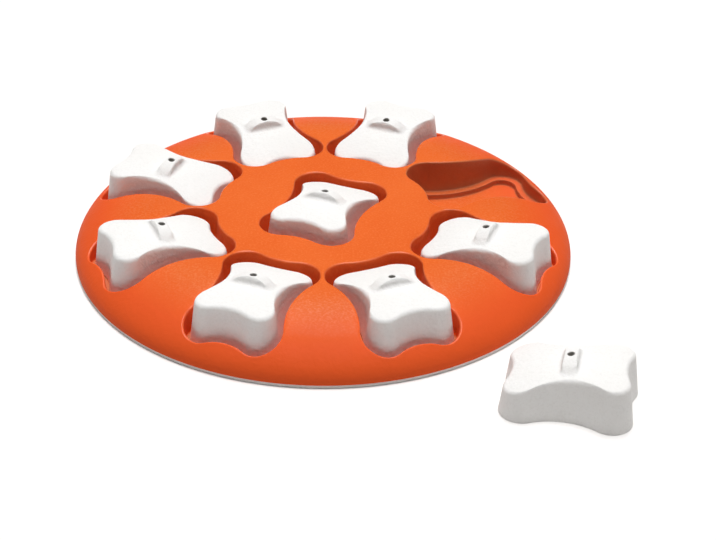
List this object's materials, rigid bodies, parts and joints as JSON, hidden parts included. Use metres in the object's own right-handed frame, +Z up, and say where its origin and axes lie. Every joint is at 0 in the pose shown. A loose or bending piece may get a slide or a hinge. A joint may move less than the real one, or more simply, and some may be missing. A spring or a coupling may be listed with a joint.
{
  "type": "dog puzzle feeder toy",
  "caption": "Round domed dog puzzle feeder with bone-shaped treat pockets, each covered by a lift-out hollow bone block with an arched grip and scent hole.",
  "frame": {"origin": "on the disc's axis, on the plane that the rubber feet stand on", "axes": "+Z up along the disc's axis; the picture looks along +Y with +X to the right; the loose bone block lies towards +X and -Y"},
  "size_m": [0.3018, 0.3181, 0.036],
  "materials": {
    "orange_plastic": "fine matte moulded",
    "white_plastic": "fine matte moulded",
    "grey_plastic": "fine matte moulded",
    "foot_rubber": "matte"
  },
  "bodies": {
    "board": {"disc": "orange_plastic", "base_plate": "grey_plastic", "foot_1": "foot_rubber", "foot_2": "foot_rubber", "foot_3": "foot_rubber", "foot_4": "foot_rubber", "foot_5": "foot_rubber", "foot_6": "foot_rubber", "foot_7": "foot_rubber", "foot_8": "foot_rubber", "foot_9": "foot_rubber"},
    "block_1": {"bone_1": "white_plastic"},
    "block_2": {"bone_2": "white_plastic"},
    "block_3": {"bone_3": "white_plastic"},
    "block_4": {"bone_4": "white_plastic"},
    "block_5": {"bone_5": "white_plastic"},
    "block_6": {"bone_6": "white_plastic"},
    "block_7": {"bone_7": "white_plastic"},
    "block_8": {"bone_8": "white_plastic"},
    "block_9": {"bone_9": "white_plastic"}
  },
  "joints": [
    {"name": "lift_1", "type": "slide", "parent": "board", "child": "block_1", "axis": [0, 0, 1], "range_m": [0, 0.06]},
    {"name": "lift_2", "type": "slide", "parent": "board", "child": "block_2", "axis": [0, 0, 1], "range_m": [0, 0.06]},
    {"name": "lift_3", "type": "slide", "parent": "board", "child": "block_3", "axis": [0, 0, 1], "range_m": [0, 0.06]},
    {"name": "lift_4", "type": "slide", "parent": "board", "child": "block_4", "axis": [0, 0, 1], "range_m": [0, 0.06]},
    {"name": "lift_5", "type": "slide", "parent": "board", "child": "block_5", "axis": [0, 0, 1], "range_m": [0, 0.06]},
    {"name": "lift_6", "type": "slide", "parent": "board", "child": "block_6", "axis": [0, 0, 1], "range_m": [0, 0.06]},
    {"name": "lift_7", "type": "slide", "parent": "board", "child": "block_7", "axis": [0, 0, 1], "range_m": [0, 0.06]},
    {"name": "lift_8", "type": "slide", "parent": "board", "child": "block_8", "axis": [0, 0, 1], "range_m": [0, 0.06]},
    {"name": "lift_9", "type": "slide", "parent": "board", "child": "block_9", "axis": [0, 0, 1], "range_m": [0, 0.06]}
  ]
}
